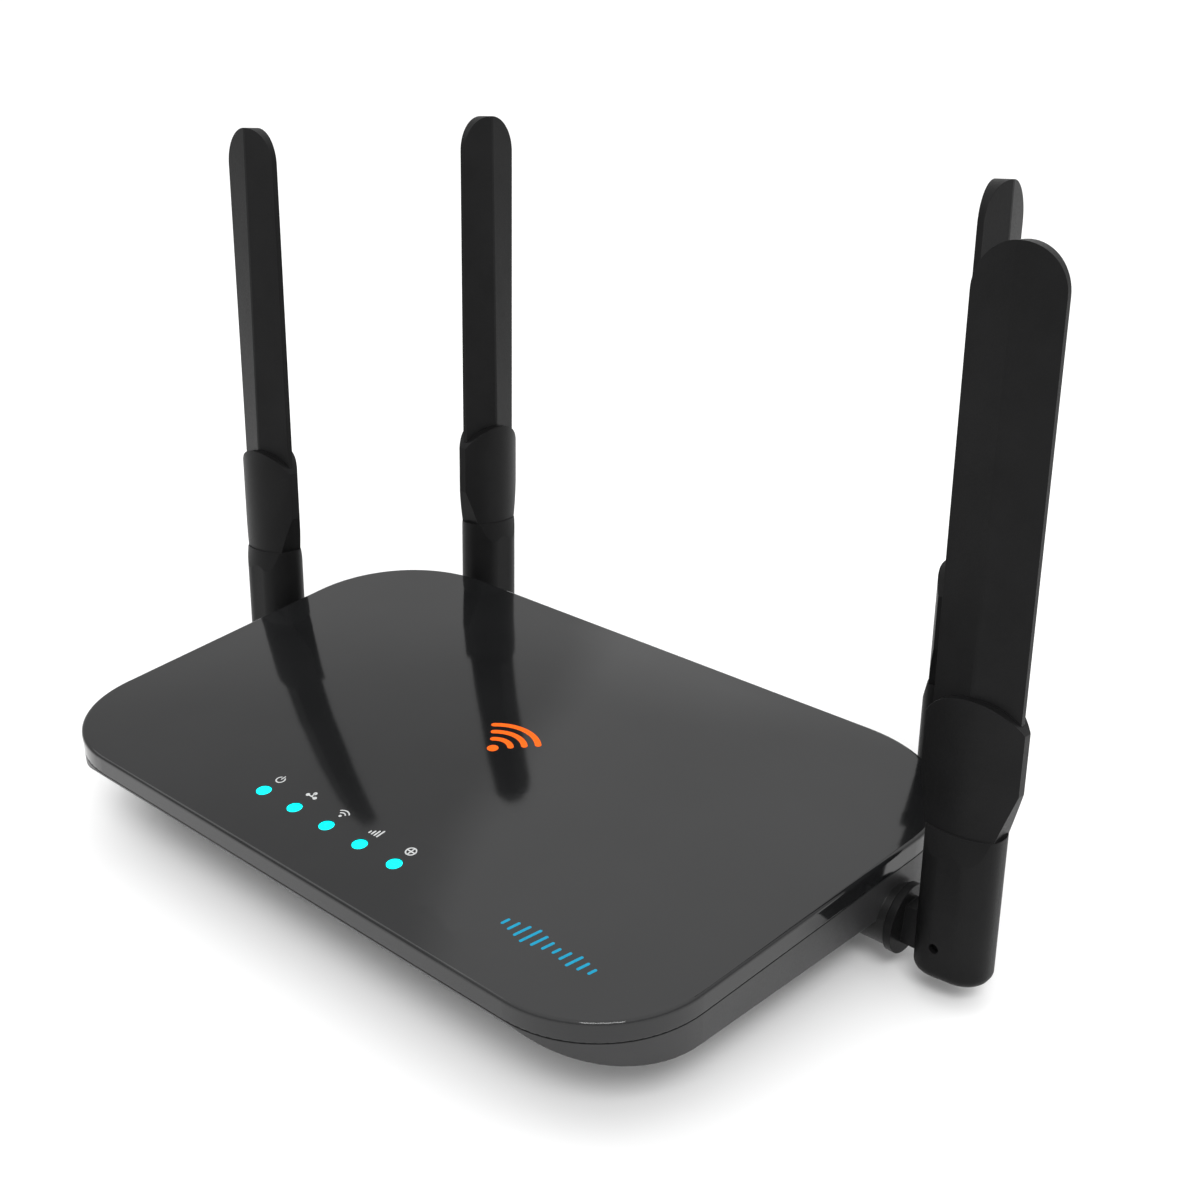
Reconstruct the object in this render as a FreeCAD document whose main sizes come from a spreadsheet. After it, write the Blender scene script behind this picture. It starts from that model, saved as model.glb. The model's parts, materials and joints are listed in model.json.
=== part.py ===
import FreeCAD, Part
import math
import os
import re

import Sketcher

# Flat wireless router with four folding antennas, built as separate pieces.
# Frame: +Z up, +Y to the rear wall with the sockets, +X to the right.
# The origin is the centre of the plan, on the plane that the rubber feet rest on.

SIZES = {
    "post_radius": 4.5,
    "pilot_radius": 1.55,
    "sink_radius": 3.3,
    "screw_hole": 1.7,
    "board_post": 3.2,
    "board_hole": 1.25,
    "board_eye": 1.4,
    "foot_radius": 6.0,
    "vent_front": 4.0,
    "vent_rear": 34.0,
    "channel_radius": 2.2,
    # plan of the body
    "front_width": 202.4,
    "rear_width": 223.8,
    "depth": 142.5,
    "front_corner": 30.5,
    "rear_corner": 35.3,
    # heights above the rest plane
    "rim_height": 32.0,
    "seam_height": 27.0,
    "seam_gap": 0.4,
    "crown_rise": 4.0,
    "rim_round": 0.9,
    "foot_height": 3.0,
    "wall": 2.0,
    # curved front underside and sloping underside behind it
    "chin_length": 28.3,
    "chin_drop": 8.2,
    "keel_rear": 13.5,
    # deep middle of the housing
    "belly_inset": 14.0,
    "belly_front": -36.0,
    "port_half": 72.0,
    "port_front": 40.0,
    "pocket_half": 9.0,
    "pocket_rear": 58.8,
    "pocket_low": 5.5,
    # joint between cover and housing
    "lip_inset": 2.15,
    "lip_wall": 1.2,
    "lip_rise": 2.4,
    # indicator windows
    "led_centre": -1.1,
    "led_pitch": 12.0,
    "led_row": -54.9,
    "led_radius": 1.9,
    "led_hole": 2.0,
    "led_top": 33.45,
    "guide_rear": -24.4,
    "guide_low": 23.4,
    "guide_high": 26.4,
    "guide_foot": 11.7,
    "guide_half": 1.1,
    # circuit board
    "board_half": 62.0,
    "board_front": -30.0,
    "board_rear": 66.0,
    "board_low": 9.0,
    "board_top": 10.6,
    # antenna mounting, measured from each hinge pin
    "side_row": 26.7,
    "rear_column": 88.5,
    "hinge_height": 14.2,
    "side_reach": 14.3,
    "rear_reach": 15.6,
    "boss_radius": 8.0,
    "boss_bore": 5.05,
    "boss_face": 12.8,
    "boss_end": 32.5,
    "flange_radius": 8.8,
    "flange_back": 12.4,
    "flange_front": 10.4,
    "trunnion_radius": 5.0,
    "trunnion_end": 36.5,
    "groove_radius": 4.2,
    "groove_start": 33.0,
    "groove_end": 34.3,
    "clip_radius": 6.2,
    "clip_start": 33.1,
    "clip_end": 34.2,
    "lead_bore": 1.6,
    "tongue_half": 3.0,
    "tongue_rise": 5.0,
    "eye_radius": 6.0,
    "pin_radius": 1.2,
    "pin_bore": 1.25,
    "pin_half": 5.2,
    # antenna arm: oval tube below, flat sleeve above
    "arm_offset": 2.0,
    "arm_foot": 8.3,
    "arm_round": 2.5,
    "tube_wide": 9.3,
    "tube_thick": 7.3,
    "tube_corner": 6.8,
    "scoop_low": 22.3,
    "scoop_high": 29.0,
    "slot_half": 3.35,
    "slot_reach": 6.3,
    "slot_inner": 7.5,
    "sleeve_wide": 12.0,
    "sleeve_thick": 5.9,
    "sleeve_edge": 1.4,
    "sleeve_start": 22.0,
    "sleeve_neck": 6.3,
    "sleeve_full": 42.0,
    "arch_radius": 14.2,
    "arch_centre": 47.3,
    # antenna blade
    "blade_wide": 10.65,
    "blade_foot": 46.0,
    "blade_end": 160.0,
    "blade_crest": 148.75,
    "blade_root_thick": 4.26,
    "blade_tip_thick": 2.52,
    "blade_ridge": 0.4,
    "blade_edge": 0.85,
    # rear wall fittings
    "jack_half": 8.0,
    "jack_front": 53.0,
    "jack_height": 13.4,
    "jack_play": 0.2,
    "socket_half": 6.0,
    "socket_depth": 14.0,
    "dc_axis": 16.2,
    "dc_bore": 3.1,
    "dc_pin": 1.0,
}

LED_COUNT = 5
ETHERNET_COLUMNS = (-10.0, 10.0)
DC_COLUMN = -52.0
# name, column, height, radius, how far it stands out, travel
BUTTONS = (
    ("power", -34.0, 17.0, 4.0, 2.2, 1.5),
    ("wps", 36.0, 16.5, 2.6, 0.8, 0.8),
    ("reset", 52.0, 16.5, 1.1, -1.2, 0.5),
)
CASE_POSTS = ((-70.0, -8.0), (70.0, -8.0), (-70.0, 34.0), (70.0, 34.0))
BOARD_POSTS = ((-56.0, -22.0), (56.0, -22.0), (-56.0, 44.0), (56.0, 44.0))
FEET = ((-79.0, -24.0), (79.0, -24.0), (-84.0, 44.0), (84.0, 44.0))
VENT_COLUMNS = [6.0 * step for step in range(-6, 7)]

Vector = FreeCAD.Vector
ALONG = {
    "X": FreeCAD.Rotation(Vector(0, 1, 0), 90),
    "Y": FreeCAD.Rotation(Vector(1, 0, 0), -90),
    "Z": FreeCAD.Rotation(),
}
UPRIGHT = FreeCAD.Rotation(Vector(1, 0, 0), 90)
SIDEWAYS = FreeCAD.Rotation(Vector(1, 1, 1), 120)

doc = FreeCAD.newDocument("router")
nodes = []


# ---- spreadsheet and small helpers ----

def make_sheet():
    dims = doc.addObject("Spreadsheet::Sheet", "dims")
    for row, (alias, number) in enumerate(SIZES.items(), start=1):
        dims.set("A%d" % row, alias)
        dims.set("B%d" % row, str(number))
        dims.setAlias("B%d" % row, alias)
    doc.recompute()
    return dims


sheet = make_sheet()


def size(alias):
    return float(sheet.get(alias))


def formula(text):
    """Turn a formula of size names into one that points at the sheet's cells."""
    def cell(word):
        return "dims." + word.group() if word.group() in SIZES else word.group()
    return re.sub(r"[a-z_]+", cell, str(text))


def bind(thing, **formulas):
    for name, text in formulas.items():
        thing.setExpression(name, formula(text))
    return thing


def place(thing, x, y, z, rotation=FreeCAD.Rotation()):
    thing.Placement = FreeCAD.Placement(Vector(), rotation)
    for axis, text in (("x", x), ("y", y), ("z", z)):
        thing.setExpression("Placement.Base." + axis, formula(text))
    return thing


def keep(thing, label):
    """Give a finished sub-part the name of its node."""
    thing.Label = label
    nodes.append(thing)
    return thing


def box(name, x, y, z):
    thing = doc.addObject("Part::Box", name)
    for side, (low, high) in (("Length", x), ("Width", y), ("Height", z)):
        thing.setExpression(side, formula("(%s) - (%s)" % (high, low)))
    return place(thing, x[0], y[0], z[0])


def cylinder(name, radius, axis, start, end, at):
    """A round bar from start to end along an axis; at holds its other two coordinates."""
    thing = doc.addObject("Part::Cylinder", name)
    bind(thing, Radius=radius, Height="(%s) - (%s)" % (end, start))
    base = list(at)
    base.insert("XYZ".index(axis), start)
    return place(thing, *base, rotation=ALONG[axis])


def wedge(name, near, far, rotation=FreeCAD.Rotation()):
    """A block between two rectangles: each is (y, x low, x high, z low, z high)."""
    thing = doc.addObject("Part::Wedge", name)
    bind(thing, Ymin=near[0], Xmin=near[1], Xmax=near[2], Zmin=near[3], Zmax=near[4])
    bind(thing, Ymax=far[0], X2min=far[1], X2max=far[2], Z2min=far[3], Z2max=far[4])
    thing.Placement = FreeCAD.Placement(Vector(), rotation)
    return thing


def fuse(name, pieces):
    thing = doc.addObject("Part::MultiFuse", name)
    thing.Shapes = pieces
    return thing


def cut(name, base, tools):
    thing = doc.addObject("Part::Cut", name)
    thing.Base = base
    thing.Tool = tools[0] if len(tools) == 1 else fuse(name + "_tools", tools)
    return thing


def common(name, first, second):
    thing = doc.addObject("Part::Common", name)
    thing.Base = first
    thing.Tool = second
    return thing


def group(name, pieces):
    thing = doc.addObject("Part::Compound", name)
    thing.Links = pieces
    return thing


def round_edges(name, base, radius_of):
    """Round each edge of base for which radius_of gives a radius."""
    doc.recompute()
    thing = doc.addObject("Part::Fillet", name)
    thing.Base = base
    edges = []
    for number, edge in enumerate(base.Shape.Edges, start=1):
        radius = radius_of(edge)
        if radius:
            edges.append((number, radius, radius))
    thing.Edges = edges
    return thing


def extrude(name, profile, direction, length, both_ways=False):
    thing = doc.addObject("Part::Extrusion", name)
    thing.Base = profile
    thing.DirMode = "Custom"
    thing.Dir = direction
    thing.Solid = True
    thing.Symmetric = both_ways
    return bind(thing, LengthFwd=length)


def ellipse(name, long_radius, short_radius):
    return bind(doc.addObject("Part::Ellipse", name), MajorRadius=long_radius, MinorRadius=short_radius)


def leaf_section(name, wide, thick, flat, edge, height):
    """An eight-cornered section: flat ridges on both faces, thin blunt edges at the sides."""
    signs = ((1, 1), (-1, 1), (-1, 1), (-1, -1), (-1, -1), (1, -1), (1, -1), (1, 1))
    pairs = ((flat, thick), (flat, thick), (wide, edge), (wide, edge)) * 2
    corners = [(sx, pair[0], sy, pair[1]) for (sx, sy), pair in zip(signs, pairs)]
    points = [Vector(sx * size(across), sy * size(along), 0) for sx, across, sy, along in corners]
    sketch = doc.addObject("Sketcher::SketchObject", name)
    for number, point in enumerate(points):
        sketch.addGeometry(Part.LineSegment(point, points[(number + 1) % len(points)]), False)
    for number in range(len(points)):
        after = (number + 1) % len(points)
        sketch.addConstraint(Sketcher.Constraint("Coincident", number, 2, after, 1))
    for number, (sx, across, sy, along) in enumerate(corners):
        for kind, sign, alias in (("DistanceX", sx, across), ("DistanceY", sy, along)):
            distance = Sketcher.Constraint(kind, -1, 1, number, 1, sign * size(alias))
            index = sketch.addConstraint(distance)
            sketch.setExpression("Constraints[%d]" % index, formula("%d * %s" % (sign, alias)))
    return place(sketch, 0, 0, height)


# ---- the body's outline ----

def half_width(y, inset):
    """Formula of the half width between the tapering side walls at y."""
    taper = "(rear_width - front_width) / 2 / depth"
    return "(front_width / 2 + %s * (%s + depth / 2) - (%s))" % (taper, y, inset)


def outline(name, inset, front, low, high):
    """The plan set in from the walls, from y = front to the rear wall, as a rounded prism."""
    rear = "depth / 2 - (%s)" % inset
    near = (front, "-" + half_width(front, inset), half_width(front, inset), low, high)
    far = (rear, "-" + half_width("(%s)" % rear, inset), half_width("(%s)" % rear, inset), low, high)
    blank = wedge(name + "_blank", near, far)
    doc.recompute()
    setback = size("depth") / 2 - blank.Ymax.Value
    front_round = size("front_corner") - setback
    rear_round = size("rear_corner") - setback

    def corner_radius(edge):
        box_of_edge = edge.BoundBox
        if max(box_of_edge.XLength, box_of_edge.YLength) > 0.01:
            return 0
        return front_round if box_of_edge.YMin < 0 else rear_round
    return round_edges(name, blank, corner_radius)


def crowned_block(name, drop):
    """A block under the crowned top face, a little wider than the body.

    The crown is rise * (1 - u * u) * (1 - v * v), with u and v running from -1 to 1
    between the side walls and between front and rear, so nine poles give it exactly.
    """
    reach = 1.05
    spans = (-reach, 0.0, reach)
    lifts = (1 - reach ** 2, 1 + reach ** 2, 1 - reach ** 2)
    middle = (size("front_width") + size("rear_width")) / 4
    spread = (size("rear_width") - size("front_width")) / 4
    surface = Part.BezierSurface()
    surface.increase(2, 2)
    for column, (u, lift_u) in enumerate(zip(spans, lifts), start=1):
        for line, (v, lift_v) in enumerate(zip(spans, lifts), start=1):
            height = size("rim_height") - drop + size("crown_rise") * lift_u * lift_v
            surface.setPole(column, line, Vector(u * (middle + v * spread), v * size("depth") / 2, height))
    thing = doc.addObject("Part::Feature", name)
    thing.Shape = surface.toShape().extrude(Vector(0, 0, -size("rim_height")))
    thing.Placement = FreeCAD.Placement()
    return thing


# ---- casing ----

def led_columns():
    return ["led_centre + (%d) * led_pitch" % (number - LED_COUNT // 2) for number in range(LED_COUNT)]


def make_top_cover():
    plan = outline("cover_plan", "0", "-depth / 2", "seam_height", "rim_height + 2 * crown_rise")
    outer = common("cover_outer", plan, crowned_block("cover_crown", 0.0))
    rim = size("rim_height")

    def rim_radius(edge):
        return size("rim_round") if edge.BoundBox.ZMin > rim - 1 else 0
    outer = round_edges("cover_rounded", outer, rim_radius)
    inner_plan = outline("cover_inner_plan", "wall", "wall - depth / 2", "seam_height - 1",
                         "rim_height + 2 * crown_rise")
    inner = common("cover_inner", inner_plan, crowned_block("cover_inner_crown", size("wall")))
    shell = cut("cover_shell", outer, [inner])
    posts = []
    holes = []
    for number, (x, y) in enumerate(CASE_POSTS):
        posts.append(cylinder("cover_post%d" % number, "post_radius", "Z", "seam_height",
                              "rim_height + 1", (x, y)))
        pilot_z = ("seam_height - 1", "rim_height - 0.5")
        holes.append(cylinder("cover_pilot%d" % number, "pilot_radius", "Z", *pilot_z, (x, y)))
    for number, x in enumerate(led_columns()):
        high = "rim_height + 2 * crown_rise"
        window = cylinder("cover_window%d" % number, "led_hole", "Z", "seam_height", high, (x, "led_row"))
        holes.append(window)
    keep(cut("cover", fuse("cover_solid", [shell] + posts), holes), "top_cover")


def housing_form(name, inset, high):
    """The housing's outer form, or its hollow when set in by the wall."""
    start = "chin_length - depth / 2"
    plan = outline(name + "_plan", inset, "%s - depth / 2" % inset, "0", high)
    oval = ellipse(name + "_oval", "chin_length - %s" % inset, "chin_drop - %s" % inset)
    place(oval, 0, start, "seam_height", rotation=SIDEWAYS)
    chin = extrude(name + "_chin", oval, Vector(1, 0, 0), "rear_width + 10", both_ways=True)
    sides = ("-rear_width", "rear_width")
    near = (start,) + sides + ("seam_height - chin_drop + %s" % inset, high)
    far = ("depth / 2 + 1",) + sides + ("keel_rear + %s" % inset, high)
    keel = wedge(name + "_keel", near, far)
    upper = common(name + "_upper", plan, fuse(name + "_underside", [chin, keel]))
    belly_edge = "belly_inset + %s" % inset
    low = "foot_height + %s" % inset
    belly = outline(name + "_belly", belly_edge, "belly_front + %s" % inset, low, high)
    port_x = ("%s - port_half" % inset, "port_half - %s" % inset)
    port = box(name + "_port", port_x, ("port_front", "depth / 2 - %s" % inset), (low, high))
    pockets = []
    for hand in (-1, 1):
        middle = "%d * rear_column" % hand
        span = ("%s - pocket_half + %s" % (middle, inset), "%s + pocket_half - %s" % (middle, inset))
        reach = ("port_front", "pocket_rear - %s" % inset)
        pockets.append(box("%s_pocket%d" % (name, hand + 1), span, reach,
                           ("pocket_low + %s" % inset, high)))
    return fuse(name, [upper, belly, port] + pockets)


def lip_ring():
    """A thin ring inside the seam, which the cover slides over."""
    low = "seam_height - 3"
    high = "seam_height + lip_rise"
    outer = outline("lip_outer", "lip_inset", "lip_inset - depth / 2", low, high)
    hollow = "lip_inset + lip_wall"
    inner = outline("lip_inner", hollow, "%s - depth / 2" % hollow, low + " - 1", high + " + 1")
    return cut("lip", outer, [inner])


def housing_posts():
    posts = []
    holes = []
    for number, (x, y) in enumerate(CASE_POSTS):
        posts.append(cylinder("case_post%d" % number, "post_radius", "Z", "foot_height + 1",
                              "seam_height", (x, y)))
        sink_z = ("foot_height - 1", "foot_height + 4")
        holes.append(cylinder("case_sink%d" % number, "sink_radius", "Z", *sink_z, (x, y)))
        holes.append(cylinder("case_hole%d" % number, "screw_hole", "Z", "foot_height",
                              "seam_height + 1", (x, y)))
    for number, (x, y) in enumerate(BOARD_POSTS):
        posts.append(cylinder("board_post%d" % number, "board_post", "Z", "foot_height + 1",
                              "board_low", (x, y)))
        hole_z = ("foot_height + wall", "board_top")
        holes.append(cylinder("board_hole%d" % number, "board_hole", "Z", *hole_z, (x, y)))
    return posts, holes


def rear_openings():
    holes = []
    wall = ("depth / 2 - wall - 1", "depth / 2 + 1")
    for number, x in enumerate(ETHERNET_COLUMNS):
        span = ("%s - jack_half - jack_play" % x, "%s + jack_half + jack_play" % x)
        rise = ("board_top - jack_play", "board_top + jack_height + jack_play")
        holes.append(box("jack_window%d" % number, span, wall, rise))
    holes.append(cylinder("dc_window", "dc_bore + 0.8", "Y", wall[0], wall[1], (DC_COLUMN, "dc_axis")))
    for name, x, z, radius, proud, travel in BUTTONS:
        holes.append(cylinder(name + "_window", radius + 0.35, "Y", wall[0], wall[1], (x, z)))
    for number, x in enumerate(VENT_COLUMNS):
        holes.append(box("vent%d" % number, (x - 1, x + 1), ("vent_front", "vent_rear"),
                         ("foot_height - 1", "foot_height + wall + 1")))
    return holes


def make_bottom_housing(frames):
    outer = housing_form("housing_outer", "0", "seam_height - seam_gap")
    inner = housing_form("housing_inner", "wall", "seam_height + 1")
    shell = cut("housing_shell", outer, [inner])
    posts, holes = housing_posts()
    inner, outer = size("boss_end"), size("boss_face")
    for number, frame in frames.items():
        posts.append(hinge_bar("hinge_boss%d" % number, "boss_radius", inner, outer, frame))
        holes.append(hinge_bar("hinge_bore%d" % number, "boss_bore", inner + 1, outer - 1, frame))
    solid = fuse("housing_solid", [shell, lip_ring()] + posts)
    keep(cut("housing", solid, holes + rear_openings()), "bottom_housing")


def make_feet_and_screws():
    feet = []
    screws = []
    for number, (x, y) in enumerate(FEET):
        feet.append(cylinder("foot%d" % number, "foot_radius", "Z", "0", "foot_height", (x, y)))

    def foot_radius(edge):
        return 0.6 if edge.BoundBox.ZMax < 0.01 and edge.BoundBox.XLength > 1 else 0
    rounded = []
    for number, foot in enumerate(feet):
        rounded.append(round_edges("foot_rounded%d" % number, foot, foot_radius))
    keep(group("feet", rounded), "rubber_feet")
    for number, (x, y) in enumerate(CASE_POSTS):
        screws.append(screw("case_screw%d" % number, x, y, "foot_height + 4", -1, 24.0, 1.5, 2.9))
    keep(group("case_screw_set", screws), "case_screws")
    screws = []
    for number, (x, y) in enumerate(BOARD_POSTS):
        screws.append(screw("board_screw%d" % number, x, y, "board_top", 1, 5.0, 1.2, 2.5))
    keep(group("board_screw_set", screws), "board_screws")


def screw(name, x, y, seat, way, reach, radius, head_radius):
    """A cross-head screw whose head stands above (way 1) or below (way -1) its seat."""
    thick = 1.8
    spans = sorted((0.0, way * thick)), sorted((0.0, -way * reach)), sorted((way * 0.7, way * (thick + 1)))
    head_span, shank_span, cross_span = [["%s + (%s)" % (seat, value) for value in span] for span in spans]
    head = cylinder(name + "_head", head_radius, "Z", head_span[0], head_span[1], (x, y))
    shank = cylinder(name + "_shank", radius, "Z", shank_span[0], shank_span[1], (x, y))
    long_half = 1.7
    short_half = 0.4
    long_x, long_y = (x - long_half, x + long_half), (y - long_half, y + long_half)
    short_x, short_y = (x - short_half, x + short_half), (y - short_half, y + short_half)
    cross_a = box(name + "_cross_a", long_x, short_y, cross_span)
    cross_b = box(name + "_cross_b", short_x, long_y, cross_span)
    return cut(name, fuse(name + "_blank", [head, shank]), [cross_a, cross_b])


# ---- circuit board and what stands on it ----

def make_board():
    span = ("-board_half", "board_half")
    plate = box("board_plate", span, ("board_front", "board_rear"), ("board_low", "board_top"))
    holes = []
    for number, (x, y) in enumerate(BOARD_POSTS):
        holes.append(cylinder("board_eye%d" % number, "board_eye", "Z", "board_low - 1",
                              "board_top + 1", (x, y)))
    keep(cut("board", plate, holes), "main_board")


def on_board(name, x, y, width, depth, height, lift="0"):
    """A block standing on the board, centred at x, y."""
    z = ("board_top + %s" % lift, "board_top + %s + %s" % (lift, height))
    return box(name, (x - width / 2, x + width / 2), (y - depth / 2, y + depth / 2), z)


def make_board_parts():
    chips = [on_board("chip%d" % number, 0, -25.5, 2.0, 1.4, 0.7) for number in range(LED_COUNT)]
    for chip, column in zip(chips, led_columns()):
        chip.setExpression("Placement.Base.x", formula("%s - 1" % column))
    keep(group("chip_row", chips), "led_chips")
    can_high = 2.6
    cans = [on_board("can_a", -34, 6, 34, 28, can_high), on_board("can_b", 36, -2, 30, 26, can_high)]
    keep(group("cans", cans), "shield_cans")
    keep(on_board("processor_block", 2, 10, 15, 15, 1.2), "processor")
    base = on_board("sink_base", 2, 10, 26, 26, 1.6, lift="1.2")
    fins = [on_board("fin%d" % step, 2 - 12 + 4 * step, 10, 1.2, 26, 7.0, lift="2.0") for step in range(7)]
    keep(fuse("sink", [base] + fins), "heat_sink")


def make_light_guide():
    bars = []
    for number, x in enumerate(led_columns()):
        span = ("%s - guide_half" % x, "%s + guide_half" % x)
        leg_y = ("guide_rear - 2 * guide_half", "guide_rear")
        bars.append(box("guide_leg%d" % number, span, leg_y, ("guide_foot", "guide_high")))
        run_y = ("led_row - led_radius", "guide_rear - guide_half")
        bars.append(box("guide_run%d" % number, span, run_y, ("guide_low", "guide_high")))
        stud_z = ("guide_low", "led_top")
        stud = cylinder("guide_stud%d" % number, "led_radius", "Z", stud_z[0], stud_z[1], (x, "led_row"))
        bars.append(stud)
    first, last = led_columns()[0], led_columns()[-1]
    tie_y = ("led_row + 8", "led_row + 11")
    bars.append(box("guide_tie", (first, last), tie_y, ("guide_low", "guide_high")))
    keep(fuse("guide", bars), "light_guide")


def make_sockets():
    face = "depth / 2 - 0.25"
    for number, x in enumerate(ETHERNET_COLUMNS, start=1):
        name = "jack%d" % number
        span = ("%s - jack_half" % x, "%s + jack_half" % x)
        block = box(name + "_block", span, ("jack_front", face), ("board_top", "board_top + jack_height"))
        gap = ("%s - socket_half" % x, "%s + socket_half" % x)
        gap_y = ("depth / 2 - socket_depth", "depth / 2")
        gap_z = ("board_top + 2.6", "board_top + 10.6")
        latch = ("%s - 2" % x, "%s + 2" % x)
        latch_z = ("board_top + 1.2", "board_top + 3")
        tools = [box(name + "_gap", gap, gap_y, gap_z), box(name + "_latch", latch, gap_y, latch_z)]
        keep(cut(name, block, tools), "ethernet_jack_%d" % number)
    span = (DC_COLUMN - 4.5, DC_COLUMN + 4.5)
    block = box("dc_block", span, ("57", "depth / 2 - wall - 0.1"), ("board_top", "board_top + 10.6"))
    where = (DC_COLUMN, "dc_axis")
    collar = cylinder("dc_collar", "dc_bore + 0.6", "Y", "60", face, where)
    bore = cylinder("dc_bore_tool", "dc_bore", "Y", "depth / 2 - 10", "depth / 2 + 1", where)
    keep(cut("dc", fuse("dc_solid", [block, collar]), [bore]), "dc_jack")
    keep(cylinder("dc_contact", "dc_pin", "Y", "depth / 2 - 10", "depth / 2 - 1", where), "dc_jack_pin")


def make_buttons():
    """Each push button has a cap through the wall, a flange behind it and a stem into its switch."""
    inner = "depth / 2 - wall"
    flange_gap = 0.5
    flange = 1.2
    grip = 2.5
    for name, x, z, radius, proud, travel in BUTTONS:
        where = (x, z)
        back = "%s - %s" % (inner, flange_gap + flange)
        cap = cylinder(name + "_cap", radius, "Y", back, "depth / 2 + (%s)" % proud, where)
        disc = cylinder(name + "_disc", radius + 1.0, "Y", back, "%s - %s" % (inner, flange_gap), where)
        face = "%s - %s" % (back, travel + flange_gap)
        tip = "%s - %s" % (face, grip)
        stem = cylinder(name + "_stem", 0.9, "Y", tip, back, where)
        keep(fuse(name + "_push", [cap, disc, stem]), name + "_button")
        block = box(name + "_block", (x - 3.4, x + 3.4), (face + " - 6.5", face), ("board_top", z + 3.2))
        bore_low = "%s - %s" % (tip, travel + flange_gap)
        bore = cylinder(name + "_bore", 1.25, "Y", bore_low, face + " + 1", where)
        keep(cut(name + "_body", block, [bore]), name + "_switch")


def make_label():
    keep(box("label", (-35, 35), (-28, -6), ("foot_height - 0.15", "foot_height")), "rating_label")


# ---- antennas, modelled upright about the hinge pin: +X outward, pin along Y ----

def hinge_bar(name, radius, inner, outer, frame):
    """A round bar on a swivel axis, from inner to outer, both measured in from the hinge pin."""
    thing = bind(doc.addObject("Part::Cylinder", name), Radius=radius)
    thing.Height = inner - outer
    thing.Placement = frame.multiply(FreeCAD.Placement(Vector(-inner, 0, 0), ALONG["X"]))
    return thing


def tube_blank():
    deep = ("-tube_thick", "tube_thick")
    bar = box("arm_tube_plain", ("-tube_wide", "tube_wide"), deep, ("-arm_foot", "scoop_high"))

    def corner_radius(edge):
        return size("tube_corner") if edge.BoundBox.ZLength > 1 else 0
    oval = round_edges("arm_tube_oval", bar, corner_radius)
    foot = -size("arm_foot")

    def foot_radius(edge):
        return size("arm_round") if edge.BoundBox.ZMax < foot + 0.1 else 0
    tube = round_edges("arm_tube", oval, foot_radius)
    return face_limits("arm_scooped", tube, size("scoop_high"), scoop_angle())


def face_radius():
    """Radius of the sleeve's rounded faces, from their rise over the width."""
    rise = size("sleeve_thick") - size("sleeve_edge")
    return (size("sleeve_wide") ** 2 + rise ** 2) / (2 * rise)


def scoop_angle():
    """Lean of the scooped face that runs from the tube's surface to the sleeve's."""
    return math.atan2(size("tube_thick") - size("sleeve_thick"), size("scoop_high") - size("scoop_low"))


def face_limits(name, solid, level, angle):
    """Keep what lies between two large cylinders that meet the sleeve's faces at a level."""
    radius = face_radius()
    reach = 50.0
    bars = [solid]
    for number, way in enumerate((1, -1)):
        bar = doc.addObject("Part::Cylinder", "%s_face%d" % (name, number))
        bar.Radius = radius
        bar.Height = 2 * reach
        axis = Vector(0, -way * math.sin(angle), math.cos(angle))
        centre = Vector(0, -way * (radius - size("sleeve_thick")), level)
        turn = FreeCAD.Rotation(Vector(1, 0, 0), way * math.degrees(angle))
        bar.Placement = FreeCAD.Placement(centre - axis * reach, turn)
        bars.append(bar)
    thing = doc.addObject("Part::MultiCommon", name)
    thing.Shapes = bars
    return thing


def sleeve_blank():
    height = ("sleeve_start", "arch_centre + arch_radius + 1")
    block = box("sleeve_block", ("-sleeve_wide", "sleeve_wide"), ("-sleeve_thick", "sleeve_thick"), height)
    bar = face_limits("sleeve_bar", block, size("sleeve_full"), 0.0)
    deep = ("-10", "10")
    near = ("sleeve_start", "-sleeve_neck", "sleeve_neck") + deep
    far = ("sleeve_full", "-sleeve_wide - 0.5", "sleeve_wide + 0.5") + deep
    lower = wedge("sleeve_lower_room", near, far, rotation=UPRIGHT)
    wide = ("-sleeve_wide - 1", "sleeve_wide + 1")
    upper = box("sleeve_upper_room", wide, deep, ("sleeve_full", "arch_centre + arch_radius + 2"))
    arch = cylinder("sleeve_arch", "arch_radius", "Y", "-10", "10", (0, "arch_centre"))
    room = fuse("sleeve_room", [lower, common("sleeve_upper", upper, arch)])
    return common("sleeve", bar, room)


def make_blade_masters():
    root = leaf_section("blade_root", "blade_wide", "blade_root_thick", "blade_ridge", "blade_edge",
                        "blade_foot")
    tip = leaf_section("blade_tip", "blade_wide", "blade_tip_thick", "blade_ridge", "blade_edge",
                       "blade_end")
    leaf = doc.addObject("Part::Loft", "blade_leaf")
    leaf.Sections = [root, tip]
    leaf.Solid = True
    leaf.Ruled = True
    wide = ("-blade_wide - 1", "blade_wide + 1")
    side = ("-blade_wide", "blade_wide")
    lower = box("blade_lower_room", wide, ("-10", "10"), ("blade_foot", "blade_crest"))
    crest = cylinder("blade_crest_room", "blade_wide", "Y", "-10", "10", (0, "blade_crest"))
    whole = common("blade_whole", leaf, fuse("blade_room", [lower, crest]))
    hollow = box("blade_hollow", (-5, 5), (-0.9, 0.9), ("blade_foot + 16", "blade_crest + 3"))
    throat = cylinder("blade_throat", "lead_bore", "Z", "blade_foot - 1", "blade_foot + 17", (0, 0))
    blade = cut("blade_master", whole, [hollow, throat])
    strip = box("element_strip", (-4.5, 4.5), (-0.5, 0.5), ("blade_foot + 18", "blade_crest"))
    tail = cylinder("element_tail", 0.7, "Z", "12", "blade_foot + 19", (0, 0))
    return whole, blade, fuse("element_master", [strip, tail])


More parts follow.
